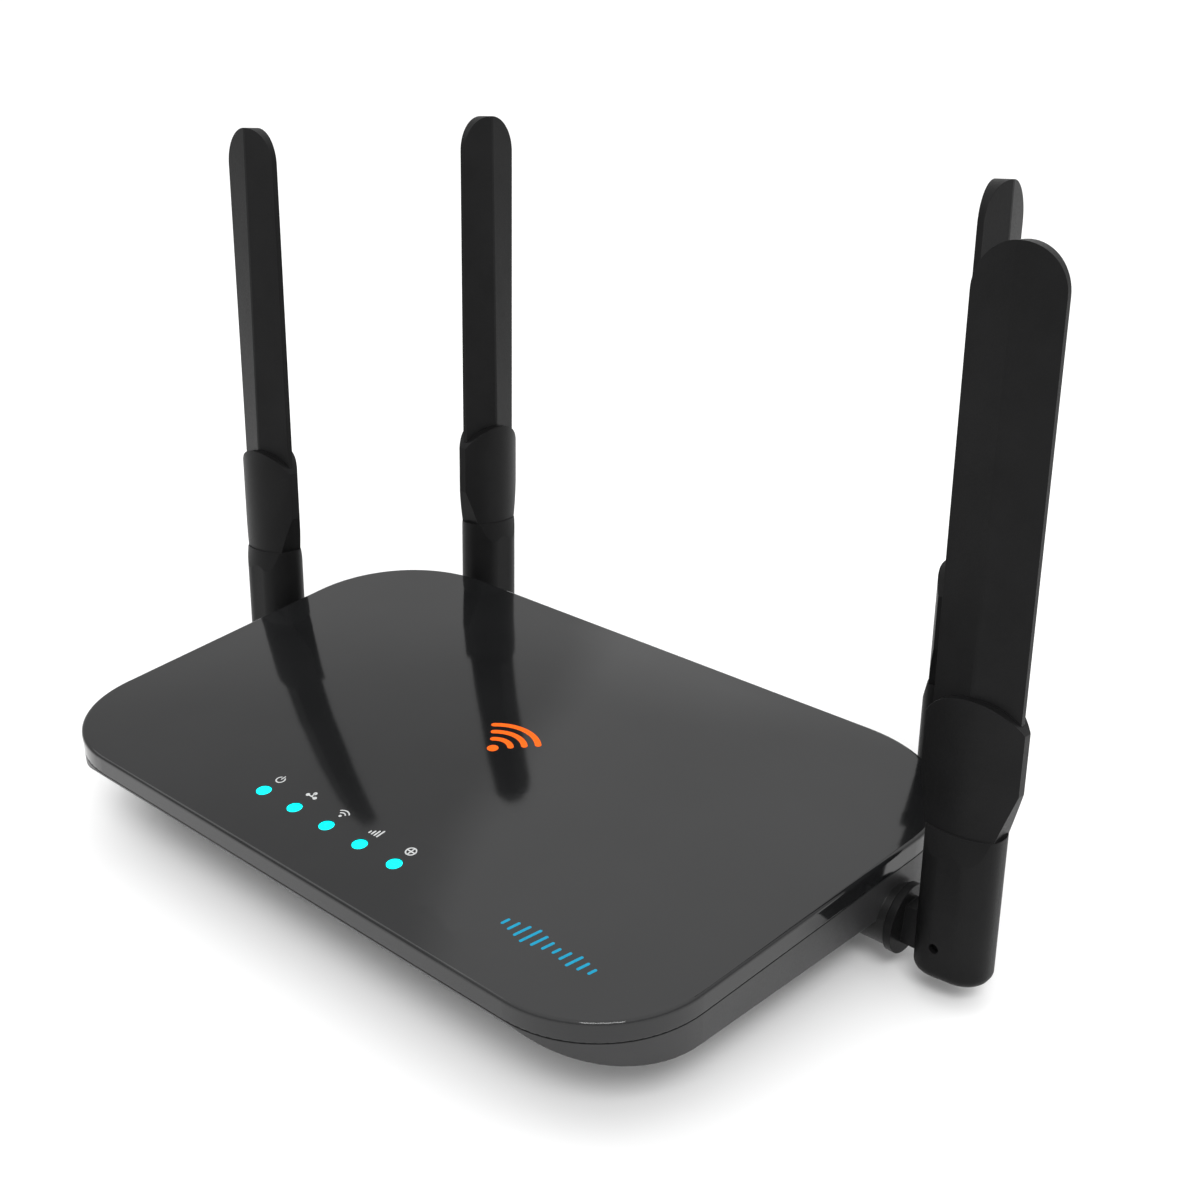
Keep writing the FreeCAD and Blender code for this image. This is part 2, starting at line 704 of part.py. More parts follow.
def make_arm_master(blade_whole):
    blank = fuse("arm_blank", [tube_blank(), sleeve_blank()])
    slot_x = ("-arm_offset - slot_inner", "slot_reach - arm_offset")
    slot = box("arm_slot", slot_x, ("-slot_half", "slot_half"), ("-arm_foot - 1", "slot_reach"))
    channel = cylinder("arm_channel", "channel_radius", "Z", "slot_reach - 1", "blade_foot + 1", (0, 0))
    ends = ("-tube_thick - 1", "tube_thick + 1")
    bore = cylinder("arm_pin_bore", "pin_radius", "Y", ends[0], ends[1], ("-arm_offset", 0))
    return cut("arm_master", blank, [blade_whole, slot, channel, bore])


def make_knuckle_masters():
    trunnion = cylinder("trunnion", "trunnion_radius", "X", "-trunnion_end", "-flange_back", (0, 0))
    flange = cylinder("flange", "flange_radius", "X", "-flange_back", "-flange_front", (0, 0))
    tongue_y = ("-tongue_half", "tongue_half")
    tongue = box("tongue", ("-flange_front - 0.5", "0"), tongue_y, ("-tongue_rise", "tongue_rise"))
    eye = cylinder("eye", "eye_radius", "Y", "-tongue_half", "tongue_half", (0, 0))
    rim = cylinder("groove_rim", "trunnion_radius + 1", "X", "-groove_end", "-groove_start", (0, 0))
    core = cylinder("groove_core", "groove_radius", "X", "-groove_end - 1", "-groove_start + 1", (0, 0))
    lead = cylinder("knuckle_lead_bore", "lead_bore", "X", "-trunnion_end - 1", "-eye_radius - 1", (0, 0))
    rise_at = ("-eye_radius - 1", 0)
    rise = cylinder("knuckle_lead_rise", "lead_bore - 0.1", "Z", "0", "tongue_rise + 1", rise_at)
    bore = cylinder("knuckle_pin_bore", "pin_bore", "Y", "-tongue_half - 1", "tongue_half + 1", (0, 0))
    solid = fuse("knuckle_solid", [trunnion, flange, tongue, eye])
    knuckle = cut("knuckle_master", solid, [cut("groove", rim, [core]), lead, rise, bore])
    ring = cylinder("clip_ring", "clip_radius", "X", "-clip_end", "-clip_start", (0, 0))
    hole = cylinder("clip_hole", "groove_radius", "X", "-clip_end - 1", "-clip_start + 1", (0, 0))
    mouth = box("clip_mouth", ("-clip_end - 1", "-clip_start + 1"), (-1.5, 1.5), ("-clip_radius - 1", "0"))
    clip = cut("clip_master", ring, [hole, mouth])
    pin = cylinder("pin_master", "pin_radius", "Y", "-pin_half", "pin_half", (0, 0))
    return knuckle, clip, pin


def antenna_frames():
    """Placement of each hinge: on the swivel axis at the pin, +X pointing away from the body."""
    rise = size("hinge_height")
    slope = (size("rear_width") - size("front_width")) / 2 / size("depth")
    side = size("front_width") / 2 + slope * (size("side_row") + size("depth") / 2) + size("side_reach")
    rear = size("depth") / 2 + size("rear_reach")
    column = size("rear_column")
    spots = {
        1: (-side, size("side_row"), 180),
        2: (-column, rear, 90),
        3: (column, rear, 90),
        4: (side, size("side_row"), 0),
    }
    axis = Vector(0, 0, 1)
    return {
        number: FreeCAD.Placement(Vector(x, y, rise), FreeCAD.Rotation(axis, angle))
        for number, (x, y, angle) in spots.items()
    }


# swivel about the axis out of the wall and tilt about the pin, in degrees, as the antennas stand
STANCE = {1: (6.9, 4.8), 2: (-4.2, 6.9), 3: (-4.2, 6.9), 4: (-6.9, -4.4)}


def make_antennas(frames):
    whole, blade, element = make_blade_masters()
    arm = make_arm_master(whole)
    knuckle, clip, pin = make_knuckle_masters()
    for number, frame in frames.items():
        swivel, tilt = STANCE[number]
        turned = frame.multiply(FreeCAD.Placement(Vector(), FreeCAD.Rotation(Vector(1, 0, 0), swivel)))
        leaning = turned.multiply(FreeCAD.Placement(Vector(), FreeCAD.Rotation(Vector(0, 1, 0), tilt)))
        offset = leaning.multiply(FreeCAD.Placement(Vector(size("arm_offset"), 0, 0), FreeCAD.Rotation()))
        pieces = (("arm", arm, offset), ("blade", blade, offset), ("element", element, offset),
                  ("pin", pin, leaning), ("knuckle", knuckle, turned), ("clip", clip, turned))
        for piece, master, spot in pieces:
            copy = group("%s_copy%d" % (piece, number), [master])
            copy.Placement = spot
            keep(copy, "antenna_%d_%s" % (number, piece))


# ---- antenna leads inside the housing ----

def rounded_path(points):
    """Straight runs joined by tangent arcs as large as the runs allow."""
    edges = []
    start = points[0]
    for before, corner, after in zip(points, points[1:], points[2:]):
        arriving = corner - before
        leaving = after - corner
        turn = arriving.getAngle(leaving)
        trim = 0.45 * min(arriving.Length, leaving.Length)
        arriving.normalize()
        leaving.normalize()
        radius = trim / math.tan(turn / 2)
        inward = (leaving - arriving).normalize()
        first = corner - arriving * trim
        middle = corner + inward * (radius / math.cos(turn / 2) - radius)
        last = corner + leaving * trim
        edges.append(Part.LineSegment(start, first).toShape())
        edges.append(Part.Arc(first, middle, last).toShape())
        start = last
    edges.append(Part.LineSegment(start, points[-1]).toShape())
    return Part.Wire(edges)


def make_leads(frames):
    """A thin coaxial lead from each hollow trunnion to its connector on the board."""
    radius = 0.65
    seat = size("board_top") + 1.0
    axis = size("hinge_height")
    inside = size("trunnion_end") - 4.0
    for number, frame in frames.items():
        pivot = frame.Base
        hand = math.copysign(1.0, pivot.x)
        if abs(pivot.x) > size("rear_column") + 1:
            edge = abs(pivot.x) - inside
            route = [(edge, pivot.y, axis), (edge - 10, pivot.y, axis), (edge - 19, 22, axis + 0.6),
                     (edge - 29, 18.5, seat + 1.0), (55, 18, seat)]
        else:
            edge = pivot.y - inside
            column = abs(pivot.x)
            route = [(column, edge, axis), (column, edge - 8, axis), (column - 8, edge - 14, axis + 0.5),
                     (column - 19, edge - 15, axis - 0.5), (56.5, edge - 17, seat)]
        points = [Vector(hand * x, y, z) for x, y, z in route]
        path = rounded_path(points)
        ring = Part.Wire([Part.makeCircle(radius, points[0], points[1] - points[0])])
        lead = doc.addObject("Part::Feature", "lead%d" % number)
        lead.Shape = path.makePipeShell([ring], True, False)
        lead.Placement = FreeCAD.Placement()
        expected = math.pi * radius ** 2 * path.Length
        if abs(lead.Shape.Volume / expected - 1) > 0.01:
            raise ValueError("lead %d has the wrong volume" % number)
        keep(lead, "antenna_lead_%d" % number)


# ---- build, check and write ----

def check_document():
    doc.recompute()
    for thing in doc.Objects:
        if "Invalid" in thing.State or "Error" in thing.State:
            raise ValueError("%s failed: %s" % (thing.Name, thing.State))
    for thing in nodes:
        if thing.Shape.isNull() or not thing.Shape.isValid() or not thing.Shape.Solids:
            raise ValueError("%s has no valid solid" % thing.Label)


def write_steps():
    os.makedirs("parts", exist_ok=True)
    for thing in nodes:
        thing.Shape.exportStep("parts/%s.step" % thing.Label)
        print("%-20s %2d solids %10.1f mm3" % (thing.Label, len(thing.Shape.Solids), thing.Shape.Volume))


def build():
    frames = antenna_frames()
    make_top_cover()
    make_bottom_housing(frames)
    make_feet_and_screws()
    make_board()
    make_board_parts()
    make_light_guide()
    make_sockets()
    make_buttons()
    make_label()
    make_antennas(frames)
    make_leads(frames)
    check_document()
    write_steps()


build()
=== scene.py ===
import json
import math

import bpy
import bmesh
from mathutils import Matrix, Vector
from mathutils.bvhtree import BVHTree


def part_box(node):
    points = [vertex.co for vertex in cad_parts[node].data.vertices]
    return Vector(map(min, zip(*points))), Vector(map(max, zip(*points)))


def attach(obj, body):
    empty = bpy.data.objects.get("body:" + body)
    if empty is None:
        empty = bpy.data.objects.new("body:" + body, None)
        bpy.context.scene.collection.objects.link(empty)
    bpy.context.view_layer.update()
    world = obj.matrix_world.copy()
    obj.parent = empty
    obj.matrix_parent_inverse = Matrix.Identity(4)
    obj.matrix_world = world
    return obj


# The looks of a flat wireless router with four folding antennas.
# Everything is in metres in the CAD frame: +Z up, +Y to the rear, +X to the right.

MM = 0.001
TRACK_SCALE = 160.0

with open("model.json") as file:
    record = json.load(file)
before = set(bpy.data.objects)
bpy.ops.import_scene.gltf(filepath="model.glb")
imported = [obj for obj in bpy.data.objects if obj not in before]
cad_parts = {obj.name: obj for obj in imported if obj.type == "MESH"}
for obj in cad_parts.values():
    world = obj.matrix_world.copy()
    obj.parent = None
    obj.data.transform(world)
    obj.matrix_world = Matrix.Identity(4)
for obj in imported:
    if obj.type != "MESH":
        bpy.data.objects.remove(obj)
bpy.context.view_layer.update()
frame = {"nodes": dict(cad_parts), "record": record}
nodes = frame["nodes"]
slot_of = {part["node"]: part["material_slot"] for part in frame["record"]["subparts"]}


# ---- materials ----

def new_material(name):
    """A node material with a Principled shader fed by the piece's own coordinates."""
    material = bpy.data.materials.new(name)
    material.use_nodes = True
    tree = material.node_tree
    shader = tree.nodes["Principled BSDF"]
    coords = tree.nodes.new("ShaderNodeTexCoord").outputs["Object"]
    return material, tree, shader, coords


def noise(tree, coords, scale, detail=4.0, rough=0.55):
    node = tree.nodes.new("ShaderNodeTexNoise")
    node.inputs["Scale"].default_value = scale
    node.inputs["Detail"].default_value = detail
    node.inputs["Roughness"].default_value = rough
    tree.links.new(coords, node.inputs["Vector"])
    return node.outputs["Fac"]


def remap(tree, value, low, high, start=0.3, stop=0.7):
    """Spread a texture's middle range from start to stop over low to high."""
    node = tree.nodes.new("ShaderNodeMapRange")
    node.inputs["From Min"].default_value = start
    node.inputs["From Max"].default_value = stop
    node.inputs["To Min"].default_value = low
    node.inputs["To Max"].default_value = high
    tree.links.new(value, node.inputs["Value"])
    return node.outputs["Result"]


def blend_colours(tree, factor, first, second):
    node = tree.nodes.new("ShaderNodeMix")
    node.data_type = "RGBA"
    tree.links.new(factor, node.inputs["Factor"])
    node.inputs["A"].default_value = (*first, 1)
    node.inputs["B"].default_value = (*second, 1)
    return node.outputs["Result"]


def soft_edges(tree, radius):
    """Normals that round each hard edge by a small radius."""
    node = tree.nodes.new("ShaderNodeBevel")
    node.samples = 6
    node.inputs["Radius"].default_value = radius
    return node.outputs["Normal"]


def bump(tree, height, depth, normal=None):
    node = tree.nodes.new("ShaderNodeBump")
    node.inputs["Strength"].default_value = 1.0
    node.inputs["Distance"].default_value = depth
    tree.links.new(height, node.inputs["Height"])
    if normal is not None:
        tree.links.new(normal, node.inputs["Normal"])
    return node.outputs["Normal"]


def grey(level):
    return (level, level, level * 1.03)


def moulded(name, dark, light, rough, grain, depth, edge=0.25 * MM, specular=0.5):
    """Moulded plastic: slight mottling, a fine grain of the given size, softly rounded edges."""
    material, tree, shader, coords = new_material(name)
    mottling = remap(tree, noise(tree, coords, 60.0), 0.0, 1.0)
    tree.links.new(blend_colours(tree, mottling, dark, light), shader.inputs["Base Color"])
    speckle = noise(tree, coords, 1.0 / grain, detail=2.0)
    tree.links.new(remap(tree, speckle, rough[0], rough[1]), shader.inputs["Roughness"])
    shader.inputs["Specular IOR Level"].default_value = specular
    rounded = soft_edges(tree, edge)
    tree.links.new(bump(tree, speckle, depth, rounded), shader.inputs["Normal"])
    return material


def arithmetic(tree, operation, first, second=0.0):
    """A math node; each operand is a socket or a number."""
    node = tree.nodes.new("ShaderNodeMath")
    node.operation = operation
    for socket, value in zip(node.inputs, (first, second)):
        if isinstance(value, float):
            socket.default_value = value
        else:
            tree.links.new(value, socket)
    return node.outputs["Value"]


def distance_to(tree, first, second, centre):
    """How far a point lies from an axis, from its two coordinates across that axis."""
    across = arithmetic(tree, "SUBTRACT", first, centre[0])
    along = arithmetic(tree, "SUBTRACT", second, centre[1])
    square = arithmetic(tree, "ADD", arithmetic(tree, "MULTIPLY", across, across),
                        arithmetic(tree, "MULTIPLY", along, along))
    return arithmetic(tree, "SQRT", square)


def housing_plastic(name):
    """Charcoal plastic, with black collars around the four hinges."""
    material, tree, shader, coords = new_material(name)
    mottling = remap(tree, noise(tree, coords, 60.0), 0.0, 1.0)
    plain = blend_colours(tree, mottling, grey(0.017), grey(0.023))
    split = tree.nodes.new("ShaderNodeSeparateXYZ")
    tree.links.new(coords, split.inputs["Vector"])
    x, y, z = (split.outputs[axis] for axis in "XYZ")
    wide = arithmetic(tree, "ABSOLUTE", x)
    side = distance_to(tree, y, z, (SIDE_HINGE_Y, HINGE_Z))
    rear = distance_to(tree, wide, z, (REAR_HINGE_X, HINGE_Z))
    at_side = arithmetic(tree, "MULTIPLY", arithmetic(tree, "LESS_THAN", side, COLLAR_RADIUS),
                         arithmetic(tree, "GREATER_THAN", wide, SIDE_COLLAR_START))
    at_rear = arithmetic(tree, "MULTIPLY", arithmetic(tree, "LESS_THAN", rear, COLLAR_RADIUS),
                         arithmetic(tree, "GREATER_THAN", y, REAR_COLLAR_START))
    collar = arithmetic(tree, "MAXIMUM", at_side, at_rear)
    mix = tree.nodes.new("ShaderNodeMix")
    mix.data_type = "RGBA"
    tree.links.new(collar, mix.inputs["Factor"])
    tree.links.new(plain, mix.inputs["A"])
    mix.inputs["B"].default_value = (*grey(0.0030), 1)
    tree.links.new(mix.outputs["Result"], shader.inputs["Base Color"])
    shader.inputs["Specular IOR Level"].default_value = 0.38
    speckle = noise(tree, coords, 1.0 / (0.35 * MM), detail=2.0)
    tree.links.new(remap(tree, speckle, 0.34, 0.46), shader.inputs["Roughness"])
    rounded = soft_edges(tree, 0.25 * MM)
    tree.links.new(bump(tree, speckle, 0.02 * MM, rounded), shader.inputs["Normal"])
    return material


def glossy_cover(name):
    """Near-black polished plastic with a faint moulding wave."""
    material, tree, shader, coords = new_material(name)
    tint = remap(tree, noise(tree, coords, 25.0), 0.0, 1.0)
    colour = blend_colours(tree, tint, (0.0065, 0.0067, 0.0070), (0.0090, 0.0092, 0.0096))
    tree.links.new(colour, shader.inputs["Base Color"])
    shader.inputs["Specular IOR Level"].default_value = 0.44
    haze = remap(tree, noise(tree, coords, 700.0, detail=3.0), 0.065, 0.085)
    tree.links.new(haze, shader.inputs["Roughness"])
    wave = noise(tree, coords, 45.0, detail=1.0)
    rounded = soft_edges(tree, 0.3 * MM)
    tree.links.new(bump(tree, wave, 0.006 * MM, rounded), shader.inputs["Normal"])
    return material


def metal(name, dark, light, rough, stretch):
    """Brushed or drawn metal, its fine lines running along X."""
    material, tree, shader, coords = new_material(name)
    mapping = tree.nodes.new("ShaderNodeMapping")
    mapping.inputs["Scale"].default_value = stretch
    tree.links.new(coords, mapping.inputs["Vector"])
    lines = noise(tree, mapping.outputs["Vector"], 900.0, detail=5.0)
    colour = blend_colours(tree, remap(tree, lines, 0.0, 1.0), dark, light)
    tree.links.new(colour, shader.inputs["Base Color"])
    tree.links.new(remap(tree, lines, rough[0], rough[1]), shader.inputs["Roughness"])
    shader.inputs["Metallic"].default_value = 1.0
    rounded = soft_edges(tree, 0.12 * MM)
    tree.links.new(bump(tree, lines, 0.01 * MM, rounded), shader.inputs["Normal"])
    return material


def circuit_laminate(name):
    """Green solder mask over a grid of copper tracks."""
    material, tree, shader, coords = new_material(name)
    bricks = tree.nodes.new("ShaderNodeTexBrick")
    bricks.inputs["Scale"].default_value = TRACK_SCALE
    bricks.inputs["Mortar Size"].default_value = 0.06
    bricks.inputs["Color1"].default_value = (0.006, 0.075, 0.030, 1)
    bricks.inputs["Color2"].default_value = (0.010, 0.100, 0.042, 1)
    bricks.inputs["Mortar"].default_value = (0.020, 0.160, 0.060, 1)
    tree.links.new(coords, bricks.inputs["Vector"])
    tree.links.new(bricks.outputs["Color"], shader.inputs["Base Color"])
    speckle = noise(tree, coords, 1500.0, detail=2.0)
    tree.links.new(remap(tree, speckle, 0.22, 0.38), shader.inputs["Roughness"])
    tree.links.new(bump(tree, bricks.outputs["Fac"], 0.03 * MM), shader.inputs["Normal"])
    return material


def lit_guide(name, lit_above):
    """Clear cyan plastic that glows where it shows in the cover's windows."""
    material, tree, shader, coords = new_material(name)
    cloud = noise(tree, coords, 900.0, detail=3.0)
    colour = blend_colours(tree, remap(tree, cloud, 0.0, 1.0), (0.0, 0.62, 0.66), (0.0, 0.80, 0.82))
    tree.links.new(colour, shader.inputs["Base Color"])
    tree.links.new(remap(tree, cloud, 0.15, 0.3), shader.inputs["Roughness"])
    shader.inputs["Specular IOR Level"].default_value = 0.15
    split = tree.nodes.new("ShaderNodeSeparateXYZ")
    tree.links.new(coords, split.inputs["Vector"])
    glow = remap(tree, split.outputs["Z"], 0.0, 1.0, start=lit_above, stop=lit_above + 0.2 * MM)
    shader.inputs["Emission Color"].default_value = (0.0, 0.96, 0.95, 1)
    tree.links.new(glow, shader.inputs["Emission Strength"])
    return material


def printed_ink(name, first, second, glow=0.0):
    """Screen-printed ink with a faint unevenness, and an emission of strength glow: a painted glow on the
    printed marks, the lit LED on the chip.
    """
    material, tree, shader, coords = new_material(name)
    cloud = noise(tree, coords, 1200.0, detail=3.0)
    colour = blend_colours(tree, remap(tree, cloud, 0.0, 1.0), first, second)
    tree.links.new(colour, shader.inputs["Base Color"])
    tree.links.new(remap(tree, cloud, 0.30, 0.42), shader.inputs["Roughness"])
    shader.inputs["Specular IOR Level"].default_value = 0.15
    shader.inputs["Emission Color"].default_value = (*second, 1)
    shader.inputs["Emission Strength"].default_value = glow
    tree.links.new(bump(tree, cloud, 0.004 * MM), shader.inputs["Normal"])
    return material


CROWN_RISE = 4.0 * MM
rim_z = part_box("top_cover")[1].z - CROWN_RISE
joint_place = {joint["name"]: joint.get("pos_m") for joint in frame["record"]["behaviour"]["joints"]}
HINGE_Z = joint_place["antenna_4_swivel"][2]
SIDE_HINGE_Y = joint_place["antenna_4_swivel"][1]
REAR_HINGE_X = joint_place["antenna_3_swivel"][0]
COLLAR_RADIUS = 8.15 * MM
SIDE_COLLAR_START = 90.0 * MM
REAR_COLLAR_START = 52.0 * MM
MATERIALS = {
    "cover_gloss": glossy_cover("cover_gloss_plastic"),
    "housing_matte": housing_plastic("housing_plastic"),
    "antenna_shell": moulded("antenna_plastic", grey(0.0050), grey(0.0075), (0.38, 0.48),
                             0.45 * MM, 0.03 * MM,
                             specular=0.11),
    "antenna_hinge": moulded("hinge_plastic", grey(0.0045), grey(0.0070), (0.32, 0.42),
                             0.35 * MM, 0.02 * MM,
                             specular=0.12),
    "steel": metal("plated_steel", (0.36, 0.36, 0.37), (0.55, 0.55, 0.56), (0.22, 0.40), (0.1, 1.0, 1.0)),
    "pin_steel": metal("blackened_steel", (0.020, 0.020, 0.021), (0.045, 0.045, 0.046), (0.40, 0.55),
                       (0.1, 1.0, 1.0)),
    "circuit_board": circuit_laminate("circuit_laminate"),
    "lead_jacket": moulded("lead_jacket", grey(0.012), grey(0.02), (0.45, 0.6),
                           0.2 * MM, 0.01 * MM, 0.05 * MM),
    "feet_rubber": moulded("feet_rubber", grey(0.016), grey(0.028), (0.7, 0.85), 0.4 * MM, 0.04 * MM),
    "light_guide": lit_guide("light_guide_plastic", rim_z - 0.3 * MM),
    "led_chip": printed_ink("led_chip_lens", (0.6, 0.85, 0.85), (0.7, 0.95, 0.95), glow=0.6),
    "shield_metal": metal("tinned_steel", (0.45, 0.45, 0.45), (0.62, 0.62, 0.61), (0.25, 0.42),
                          (1.0, 1.0, 1.0)),
    "heat_sink_metal": metal("extruded_aluminium", (0.50, 0.51, 0.52), (0.68, 0.69, 0.70),
                             (0.3, 0.5), (1.0, 0.05, 1.0)),
    "chip_black": moulded("chip_epoxy", grey(0.010), grey(0.016), (0.4, 0.6), 0.15 * MM, 0.01 * MM),
    "socket_plastic": moulded("socket_plastic", grey(0.016), grey(0.024), (0.35, 0.5),
                              0.25 * MM, 0.012 * MM),
    "socket_black": moulded("power_socket_plastic", grey(0.009), grey(0.014), (0.3, 0.45),
                            0.25 * MM, 0.012 * MM),
    "contact_brass": metal("plated_contact", (0.62, 0.45, 0.18), (0.80, 0.62, 0.28), (0.18, 0.32),
                           (1.0, 0.1, 1.0)),
    "button_plastic": moulded("button_plastic", grey(0.018), grey(0.026), (0.28, 0.40),
                              0.3 * MM, 0.01 * MM),
    "switch_body": moulded("switch_plastic", grey(0.010), grey(0.016), (0.4, 0.55), 0.25 * MM, 0.012 * MM),
    "label_paper": moulded("label_stock", (0.50, 0.50, 0.49), (0.58, 0.58, 0.57), (0.5, 0.62),
                           0.15 * MM, 0.006 * MM),
}


def finish_cad_nodes():
    for name, piece in nodes.items():
        piece.data.materials.clear()
        piece.data.materials.append(MATERIALS[slot_of[name]])


finish_cad_nodes()


# ---- printed marks on the cover ----

def surface_of(node):
    """A search tree of a CAD node's faces, to lay marks on its top."""
    mesh = nodes[node].data
    points = [vertex.co.copy() for vertex in mesh.vertices]
    faces = [tuple(polygon.vertices) for polygon in mesh.polygons]
    return BVHTree.FromPolygons(points, faces)


cover_surface = surface_of("top_cover")
INK_PROUD = 0.03 * MM
INK_SUNK = 0.04 * MM


def on_cover(x, y):
    """Height of the cover's top at x, y."""
    hit = cover_surface.ray_cast(Vector((x, y, 1.0)), Vector((0, 0, -1)))
    return hit[0].z


def add_slab(mesh, rows):
    """A thin closed strip laid on the cover; each row is a pair of (x, y) edge points."""
    rings = []
    for left, right in rows:
        ring = []
        for (x, y), lift in ((left, INK_PROUD), (right, INK_PROUD), (right, -INK_SUNK), (left, -INK_SUNK)):
            ring.append(mesh.verts.new((x, y, on_cover(x, y) + lift)))
        rings.append(ring)
    for first, second in zip(rings, rings[1:]):
        for side in range(4):
            after = (side + 1) % 4
            mesh.faces.new((first[side], first[after], second[after], second[side]))
    mesh.faces.new(rings[0][::-1])
    mesh.faces.new(rings[-1])


def stroke(mesh, line, width):
    """A line of ink with round ends, through the points of line."""
    half = width / 2
    cap_angles = [math.radians(step) for step in (80, 60, 40, 20)]
    first_way = (line[1] - line[0]).normalized()
    last_way = (line[-1] - line[-2]).normalized()
    spine = [(line[0] - first_way * half * math.sin(a), first_way, half * math.cos(a)) for a in cap_angles]
    for number, point in enumerate(line):
        before = line[max(number - 1, 0)]
        after = line[min(number + 1, len(line) - 1)]
        spine.append((point, (after - before).normalized(), half))
    for a in cap_angles[::-1]:
        spine.append((line[-1] + last_way * half * math.sin(a), last_way, half * math.cos(a)))
    rows = []
    for point, way, reach in spine:
        across = Vector((-way.y, way.x)) * reach
        rows.append((tuple(point + across), tuple(point - across)))
    add_slab(mesh, rows)


def straight(start, end, step=0.8 * MM):
    start, end = Vector(start), Vector(end)
    count = max(1, round((end - start).length / step))
    return [start.lerp(end, number / count) for number in range(count + 1)]


def arc(centre, radius, start, end, count=20):
    """Points on a circle from start to end, in degrees."""
    points = []
    for number in range(count + 1):
        angle = math.radians(start + (end - start) * number / count)
        points.append(Vector((centre[0] + radius * math.cos(angle), centre[1] + radius * math.sin(angle))))
    return points


def disc(mesh, centre, radius):
    """A filled dot, as a strip of rows across it."""
    rows = []
    for step in range(-9, 10):
        angle = math.radians(step * 9.6)
        x = centre[0] + radius * math.sin(angle)
        reach = radius * math.cos(angle)
        rows.append(((x, centre[1] - reach), (x, centre[1] + reach)))
    add_slab(mesh, rows)


def mark(name, material, draw):
    """A printed piece on the cover, drawn by a function that fills a mesh."""
    mesh = bmesh.new()
    draw(mesh)
    bmesh.ops.recalc_face_normals(mesh, faces=mesh.faces)
    data = bpy.data.meshes.new(name)
    mesh.to_mesh(data)
    mesh.free()
    data.materials.append(material)
    piece = bpy.data.objects.new(name, data)
    bpy.context.scene.collection.objects.link(piece)
    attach(piece, "root")
    return piece


WAVE_CENTRE = (7.5 * MM, -6.5 * MM)


def draw_waves(mesh):
    """A generic radio-wave fan: a dot and three arcs above it."""
    disc(mesh, WAVE_CENTRE, 1.5 * MM)
    for radius in (4.6 * MM, 8.2 * MM, 11.8 * MM):
        stroke(mesh, arc(WAVE_CENTRE, radius, 48, 132), 1.7 * MM)


def draw_accent(mesh):
    """A row of slanted bars that grow and shrink, along the front right edge."""
    heights = (1.6, 2.6, 3.8, 5.0, 3.8, 2.6, 1.6, 2.6, 3.8, 2.6, 1.6)
    pitch = 2.5 * MM
    start = 57.0 * MM
    middle = -53.4 * MM
    slant = 0.25
    for number, tall in enumerate(heights):
        x = start + number * pitch
        rise = tall * MM / 2
        foot = (x - slant * rise, middle - rise)
        top = (x + slant * rise, middle + rise)
        stroke(mesh, straight(foot, top), 0.75 * MM)


LED_COLUMNS = [(-1.1 + 12.0 * step) * MM for step in range(-2, 3)]
ICON_ROW = -49.6 * MM
ICON_LINE = 0.34 * MM


def icon_power(mesh, x, y):
    stroke(mesh, arc((x, y), 1.15 * MM, 125, 415), ICON_LINE)
    stroke(mesh, straight((x, y + 0.3 * MM), (x, y + 1.5 * MM)), ICON_LINE)


def icon_link(mesh, x, y):
    for centre in (-1.3 * MM, 1.3 * MM):
        disc(mesh, (x + centre, y), 0.55 * MM)
    stroke(mesh, straight((x - 1.3 * MM, y), (x + 1.3 * MM, y)), ICON_LINE)
    disc(mesh, (x, y + 1.3 * MM), 0.55 * MM)
    stroke(mesh, straight((x, y), (x, y + 1.3 * MM)), ICON_LINE)


def icon_waves(mesh, x, y):
    low = (x, y - 1.0 * MM)
    disc(mesh, low, 0.4 * MM)
    for radius in (1.25 * MM, 2.2 * MM):
        stroke(mesh, arc(low, radius, 45, 135, 12), ICON_LINE)


def icon_bars(mesh, x, y):
    for number in range(4):
        column = x + (number - 1.5) * 0.9 * MM
        foot = y - 1.1 * MM
        stroke(mesh, straight((column, foot), (column, foot + (0.6 + 0.6 * number) * MM)), 0.45 * MM)


def icon_globe(mesh, x, y):
    stroke(mesh, arc((x, y), 1.3 * MM, 0, 359, 30), ICON_LINE)
    stroke(mesh, straight((x - 1.3 * MM, y), (x + 1.3 * MM, y)), ICON_LINE)
    stroke(mesh, straight((x, y - 1.3 * MM), (x, y + 1.3 * MM)), ICON_LINE)


def draw_icons(mesh):
    icons = (icon_power, icon_link, icon_waves, icon_bars, icon_globe)
    for icon, x in zip(icons, LED_COLUMNS):
        icon(mesh, x, ICON_ROW)


# The glow values on the three inks below are a painted glow: the print gives no light of its own.
orange_ink = printed_ink("orange_ink", (0.86, 0.100, 0.0), (0.95, 0.120, 0.001), glow=0.10)
mark("wave_symbol", orange_ink, draw_waves)
blue_ink = printed_ink("blue_ink", (0.004, 0.22, 0.36), (0.006, 0.26, 0.42), glow=0.06)
mark("accent_bars", blue_ink, draw_accent)
white_ink = printed_ink("white_ink", (0.42, 0.43, 0.43), (0.52, 0.53, 0.53), glow=0.05)
mark("indicator_icons", white_ink, draw_icons)


# ---- contacts in the network sockets ----

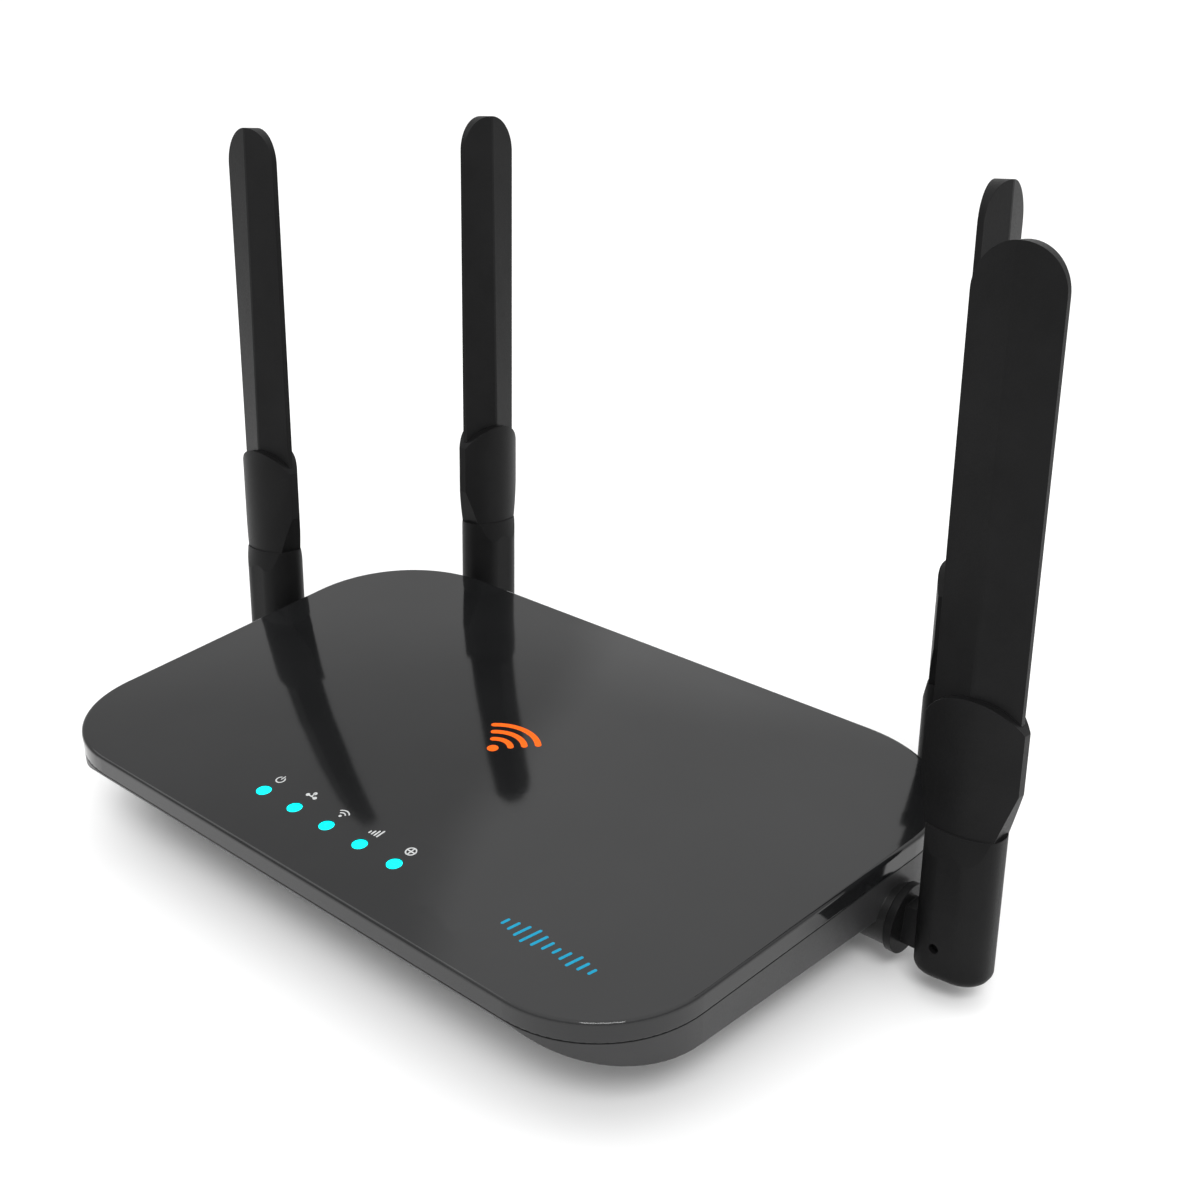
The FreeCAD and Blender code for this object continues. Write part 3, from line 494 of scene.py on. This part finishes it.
def make_contacts(node):
    """Eight sprung contacts that slope down from the roof of a socket."""
    low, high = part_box(node)
    middle = (low.x + high.x) / 2
    roof = low.z + 10.5 * MM
    mesh = bmesh.new()
    for number in range(8):
        x = middle + (number - 3.5) * 1.02 * MM
        path = ((high.y - 3.0 * MM, roof),
                (high.y - 4.0 * MM, roof - 0.5 * MM),
                (high.y - 11.5 * MM, roof - 3.2 * MM))
        half = 0.2 * MM
        rings = []
        for y, z in path:
            corners = ((x - half, z), (x + half, z), (x + half, z - 0.35 * MM), (x - half, z - 0.35 * MM))
            rings.append([mesh.verts.new((cx, y, cz)) for cx, cz in corners])
        for first, second in zip(rings, rings[1:]):
            for side in range(4):
                after = (side + 1) % 4
                mesh.faces.new((first[side], first[after], second[after], second[side]))
        mesh.faces.new(rings[0][::-1])
        mesh.faces.new(rings[-1])
    bmesh.ops.recalc_face_normals(mesh, faces=mesh.faces)
    data = bpy.data.meshes.new(node + "_contacts")
    mesh.to_mesh(data)
    mesh.free()
    data.materials.append(MATERIALS["contact_brass"])
    piece = bpy.data.objects.new(node + "_contacts", data)
    bpy.context.scene.collection.objects.link(piece)
    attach(piece, "root")


for socket in ("ethernet_jack_1", "ethernet_jack_2"):
    make_contacts(socket)


# ---- floor, light and camera ----

def make_floor():
    bpy.ops.mesh.primitive_plane_add(size=60.0, location=(0, 0, 0))
    floor = bpy.context.object
    floor.name = "floor"
    material, tree, shader, coords = new_material("pale_floor")
    cloud = remap(tree, noise(tree, coords, 6.0), 0.0, 1.0)
    colour = blend_colours(tree, cloud, (0.865, 0.865, 0.865), (0.88, 0.88, 0.88))
    tree.links.new(colour, shader.inputs["Base Color"])
    shader.inputs["Roughness"].default_value = 0.9
    shader.inputs["Specular IOR Level"].default_value = 0.1
    floor.data.materials.append(material)


def make_world():
    """A studio of soft panels: dim to the left, brighter to the right and overhead."""
    world = bpy.data.worlds.new("studio")
    bpy.context.scene.world = world
    world.use_nodes = True
    tree = world.node_tree
    background = tree.nodes["Background"]
    way = tree.nodes.new("ShaderNodeTexCoord").outputs["Generated"]
    split = tree.nodes.new("ShaderNodeSeparateXYZ")
    tree.links.new(way, split.inputs["Vector"])
    panel_edge = remap(tree, split.outputs["X"], 0.0, 1.0, start=-0.60, stop=-0.57)
    left = remap(tree, split.outputs["Z"], 0.60, 0.95, start=0.45, stop=0.95)
    right = remap(tree, split.outputs["Z"], 0.83, 1.50, start=0.45, stop=0.80)
    strength = tree.nodes.new("ShaderNodeMix")
    tree.links.new(panel_edge, strength.inputs["Factor"])
    tree.links.new(left, strength.inputs["A"])
    tree.links.new(right, strength.inputs["B"])
    tree.links.new(strength.outputs["Result"], background.inputs["Strength"])
    background.inputs["Color"].default_value = (1, 1, 1, 1)


def softbox(name, place, target, width, height, power):
    lamp = bpy.data.lights.new(name, "AREA")
    lamp.shape = "RECTANGLE"
    lamp.size = width
    lamp.size_y = height
    lamp.energy = power
    holder = bpy.data.objects.new(name, lamp)
    holder.location = place
    holder.rotation_euler = (Vector(target) - Vector(place)).to_track_quat("-Z", "Y").to_euler()
    bpy.context.scene.collection.objects.link(holder)


def make_camera():
    """Above the front right corner, looking to the rear left."""
    camera = bpy.data.cameras.new("camera")
    camera.lens = 44.54
    camera.sensor_width = 36.0
    camera.clip_start = 0.01
    holder = bpy.data.objects.new("camera", camera)
    right = Vector((0.7598, 0.6502, -0.0049)).normalized()
    forward = Vector((-0.58778, 0.68355, -0.43275)).normalized()
    up = right.cross(forward).normalized()
    right = forward.cross(up)
    turn = Matrix((right, up, -forward)).transposed()
    place = Vector((243.49 * MM, -238.09 * MM, 204.38 * MM + rim_z))
    holder.matrix_world = Matrix.Translation(place) @ turn.to_4x4()
    bpy.context.scene.collection.objects.link(holder)
    bpy.context.scene.camera = holder


make_floor()
make_world()
softbox("key_light", (0.9, -0.9, 1.6), (0, 0, 0.05), 0.9, 0.5, 18.0)
softbox("fill_light", (-1.2, -0.3, 1.3), (0, 0, 0.05), 0.8, 0.8, 2.5)
make_camera()
bpy.context.scene.view_settings.view_transform = "Standard"
bpy.context.scene.view_settings.look = "None"
